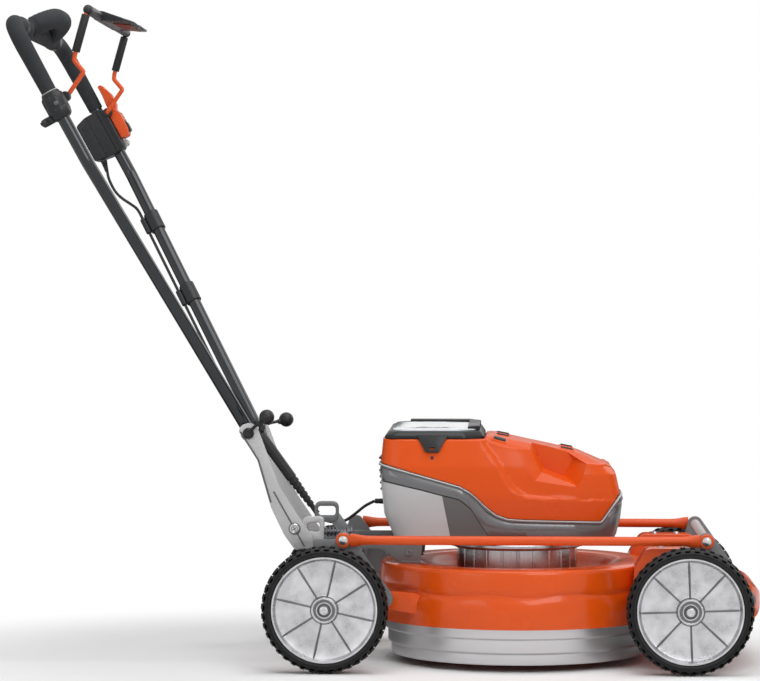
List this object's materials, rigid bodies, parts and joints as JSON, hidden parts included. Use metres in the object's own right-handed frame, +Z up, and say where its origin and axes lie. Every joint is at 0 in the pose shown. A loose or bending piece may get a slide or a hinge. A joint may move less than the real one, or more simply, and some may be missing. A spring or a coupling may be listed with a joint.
{
  "type": "cordless lawn mower",
  "caption": "Battery rotary mower with a round steel deck on cranked wheels, a boxed motor housing with a lidded battery bay, and a folding V handle with a bail",
  "frame": {"origin": "on the ground, at the middle of the mower's length and width", "axes": "+X towards the front, +Y towards the mower's left, +Z up"},
  "size_m": [1.314, 0.6245, 1.1694],
  "materials": {
    "orange_paint": "gloss",
    "orange_powder_coat": "satin",
    "brushed_steel": "brushed",
    "cast_aluminium": "cast",
    "grey_plastic": "satin",
    "silver_plastic": "satin",
    "dark_plastic": "matte",
    "light_gloss_plastic": "gloss",
    "tyre_rubber": "matte",
    "black_foam": "matte",
    "dark_tube": "satin",
    "zinc_plate": "bright",
    "spring_steel": "dark"
  },
  "bodies": {
    "chassis": {"deck": "orange_paint", "nose": "orange_paint", "skirt": "brushed_steel", "motor_drum": "cast_aluminium", "housing_lower": "grey_plastic", "housing_band": "silver_plastic", "housing_cover": "orange_paint", "louvre": "dark_plastic", "battery": "dark_plastic", "bracket_right": "zinc_plate", "bracket_left": "zinc_plate", "cable_boot": "tyre_rubber", "cable_rear": "tyre_rubber", "coil_spring": "spring_steel"},
    "rear_carrier": {"cross_tube_rear": "dark_tube", "crank_rear_right": "grey_plastic", "crank_rear_left": "grey_plastic", "height_lever": "grey_plastic"},
    "front_carrier": {"cross_tube_front": "dark_tube", "crank_front_right": "grey_plastic", "crank_front_left": "grey_plastic"},
    "rod_right": {"side_rod_right": "orange_powder_coat"},
    "rod_left": {"side_rod_left": "orange_powder_coat"},
    "blade_spindle": {"blade": "spring_steel", "blade_bolt": "spring_steel", "motor_rotor": "spring_steel"},
    "handle": {"tube_right": "dark_tube", "tube_left": "dark_tube", "grip_right": "black_foam", "grip_left": "black_foam", "crossbar": "black_foam", "centre_grip": "black_foam", "grip_clamp": "dark_plastic", "control_box_rear": "dark_plastic", "control_box_front": "dark_plastic", "control_panel": "orange_paint", "cable_upper": "tyre_rubber", "clip_upper": "dark_plastic", "clip_lower": "dark_plastic"},
    "bail": {"bail_wire_right": "orange_powder_coat", "bail_wire_left": "orange_powder_coat", "bail_sleeve_right": "dark_plastic", "bail_sleeve_left": "dark_plastic", "bail_paddle": "dark_plastic"},
    "thumb_lever": {"thumb_lever": "orange_powder_coat"},
    "start_button": {"start_button": "dark_plastic"},
    "clamp_knob": {"clamp_knob": "dark_plastic"},
    "cam_lever_right": {"cam_lever_right": "dark_plastic"},
    "cam_lever_left": {"cam_lever_left": "dark_plastic"},
    "battery_lid": {"battery_lid": "dark_plastic", "lid_panel": "light_gloss_plastic"},
    "lid_latch": {"lid_latch": "dark_plastic"},
    "wheel_front_left": {"tyre_front_left": "tyre_rubber", "rim_front_left": "cast_aluminium"},
    "wheel_front_right": {"tyre_front_right": "tyre_rubber", "rim_front_right": "cast_aluminium"},
    "wheel_rear_left": {"tyre_rear_left": "tyre_rubber", "rim_rear_left": "cast_aluminium"},
    "wheel_rear_right": {"tyre_rear_right": "tyre_rubber", "rim_rear_right": "cast_aluminium"}
  },
  "joints": [
    {"name": "cutting_height", "type": "hinge", "parent": "chassis", "child": "rear_carrier", "pos_m": [-0.007, 0, 0.124], "axis": [0, -1, 0], "range_deg": [0, 22]},
    {"name": "front_carrier_turn", "type": "hinge", "parent": "chassis", "child": "front_carrier", "pos_m": [0.624, 0, 0.124], "axis": [0, -1, 0], "range_deg": [0, 22]},
    {"name": "rod_right_eye", "type": "hinge", "parent": "rear_carrier", "child": "rod_right", "pos_m": [-0.076, -0.204, 0.227], "axis": [0, -1, 0], "range_deg": [-22, 0]},
    {"name": "rod_left_eye", "type": "hinge", "parent": "rear_carrier", "child": "rod_left", "pos_m": [-0.076, 0.204, 0.227], "axis": [0, -1, 0], "range_deg": [-22, 0]},
    {"name": "wheel_rear_right_spin", "type": "hinge", "parent": "rear_carrier", "child": "wheel_rear_right", "pos_m": [-0.106, -0.2425, 0.11], "axis": [0, 1, 0], "continuous": true},
    {"name": "wheel_rear_left_spin", "type": "hinge", "parent": "rear_carrier", "child": "wheel_rear_left", "pos_m": [-0.106, 0.2425, 0.11], "axis": [0, 1, 0], "continuous": true},
    {"name": "wheel_front_right_spin", "type": "hinge", "parent": "front_carrier", "child": "wheel_front_right", "pos_m": [0.525, -0.2425, 0.11], "axis": [0, 1, 0], "continuous": true},
    {"name": "wheel_front_left_spin", "type": "hinge", "parent": "front_carrier", "child": "wheel_front_left", "pos_m": [0.525, 0.2425, 0.11], "axis": [0, 1, 0], "continuous": true},
    {"name": "blade_spin", "type": "hinge", "parent": "chassis", "child": "blade_spindle", "pos_m": [0.225, 0, 0.03], "axis": [0, 0, 1], "continuous": true},
    {"name": "handle_fold", "type": "hinge", "parent": "chassis", "child": "handle", "pos_m": [-0.251, 0, 0.408], "axis": [0, 1, 0], "range_deg": [0, 105]},
    {"name": "bail_pull", "type": "hinge", "parent": "handle", "child": "bail", "pos_m": [-0.5515, 0, 0.997], "axis": [0, 1, 0], "range_deg": [-20, 0], "stiffness_Nm_per_rad": 1.5, "springref_deg": 28.65},
    {"name": "thumb_lever_press", "type": "hinge", "parent": "handle", "child": "thumb_lever", "pos_m": [-0.5451, 0.289, 1.00183], "axis": [0, -1, 0], "range_deg": [0, 8], "stiffness_Nm_per_rad": 0.3, "springref_deg": -5.73},
    {"name": "start_button_press", "type": "slide", "parent": "handle", "child": "start_button", "axis": [-0.8771, 0, -0.4802], "range_m": [0, 0.003], "stiffness_N_per_m": 200, "springref_m": -0.001},
    {"name": "clamp_knob_turn", "type": "hinge", "parent": "handle", "child": "clamp_knob", "pos_m": [-0.57775, -0.289, 0.95318], "axis": [-0.8771, 0, -0.4802], "range_deg": [0, 180]},
    {"name": "lid_hinge", "type": "hinge", "parent": "chassis", "child": "battery_lid", "pos_m": [0.0795, 0.1073, 0.399], "axis": [-1, 0, 0], "range_deg": [0, 80]},
    {"name": "latch_hinge", "type": "hinge", "parent": "battery_lid", "child": "lid_latch", "pos_m": [0.076, -0.1105, 0.4035], "axis": [-1, 0, 0], "range_deg": [0, 35], "stiffness_Nm_per_rad": 0.05, "springref_deg": -17.19},
    {"name": "cam_lever_right_turn", "type": "hinge", "parent": "chassis", "child": "cam_lever_right", "pos_m": [-0.251, -0.1023, 0.408], "axis": [0, 1, 0], "range_deg": [-90, 0]},
    {"name": "cam_lever_left_turn", "type": "hinge", "parent": "chassis", "child": "cam_lever_left", "pos_m": [-0.251, 0.1023, 0.408], "axis": [0, 1, 0], "range_deg": [-90, 0]}
  ],
  "couplings": [
    {"joint": "front_carrier_turn", "follows": "cutting_height", "ratio": 1},
    {"joint": "rod_right_eye", "follows": "cutting_height", "ratio": -1},
    {"joint": "rod_left_eye", "follows": "cutting_height", "ratio": -1}
  ]
}
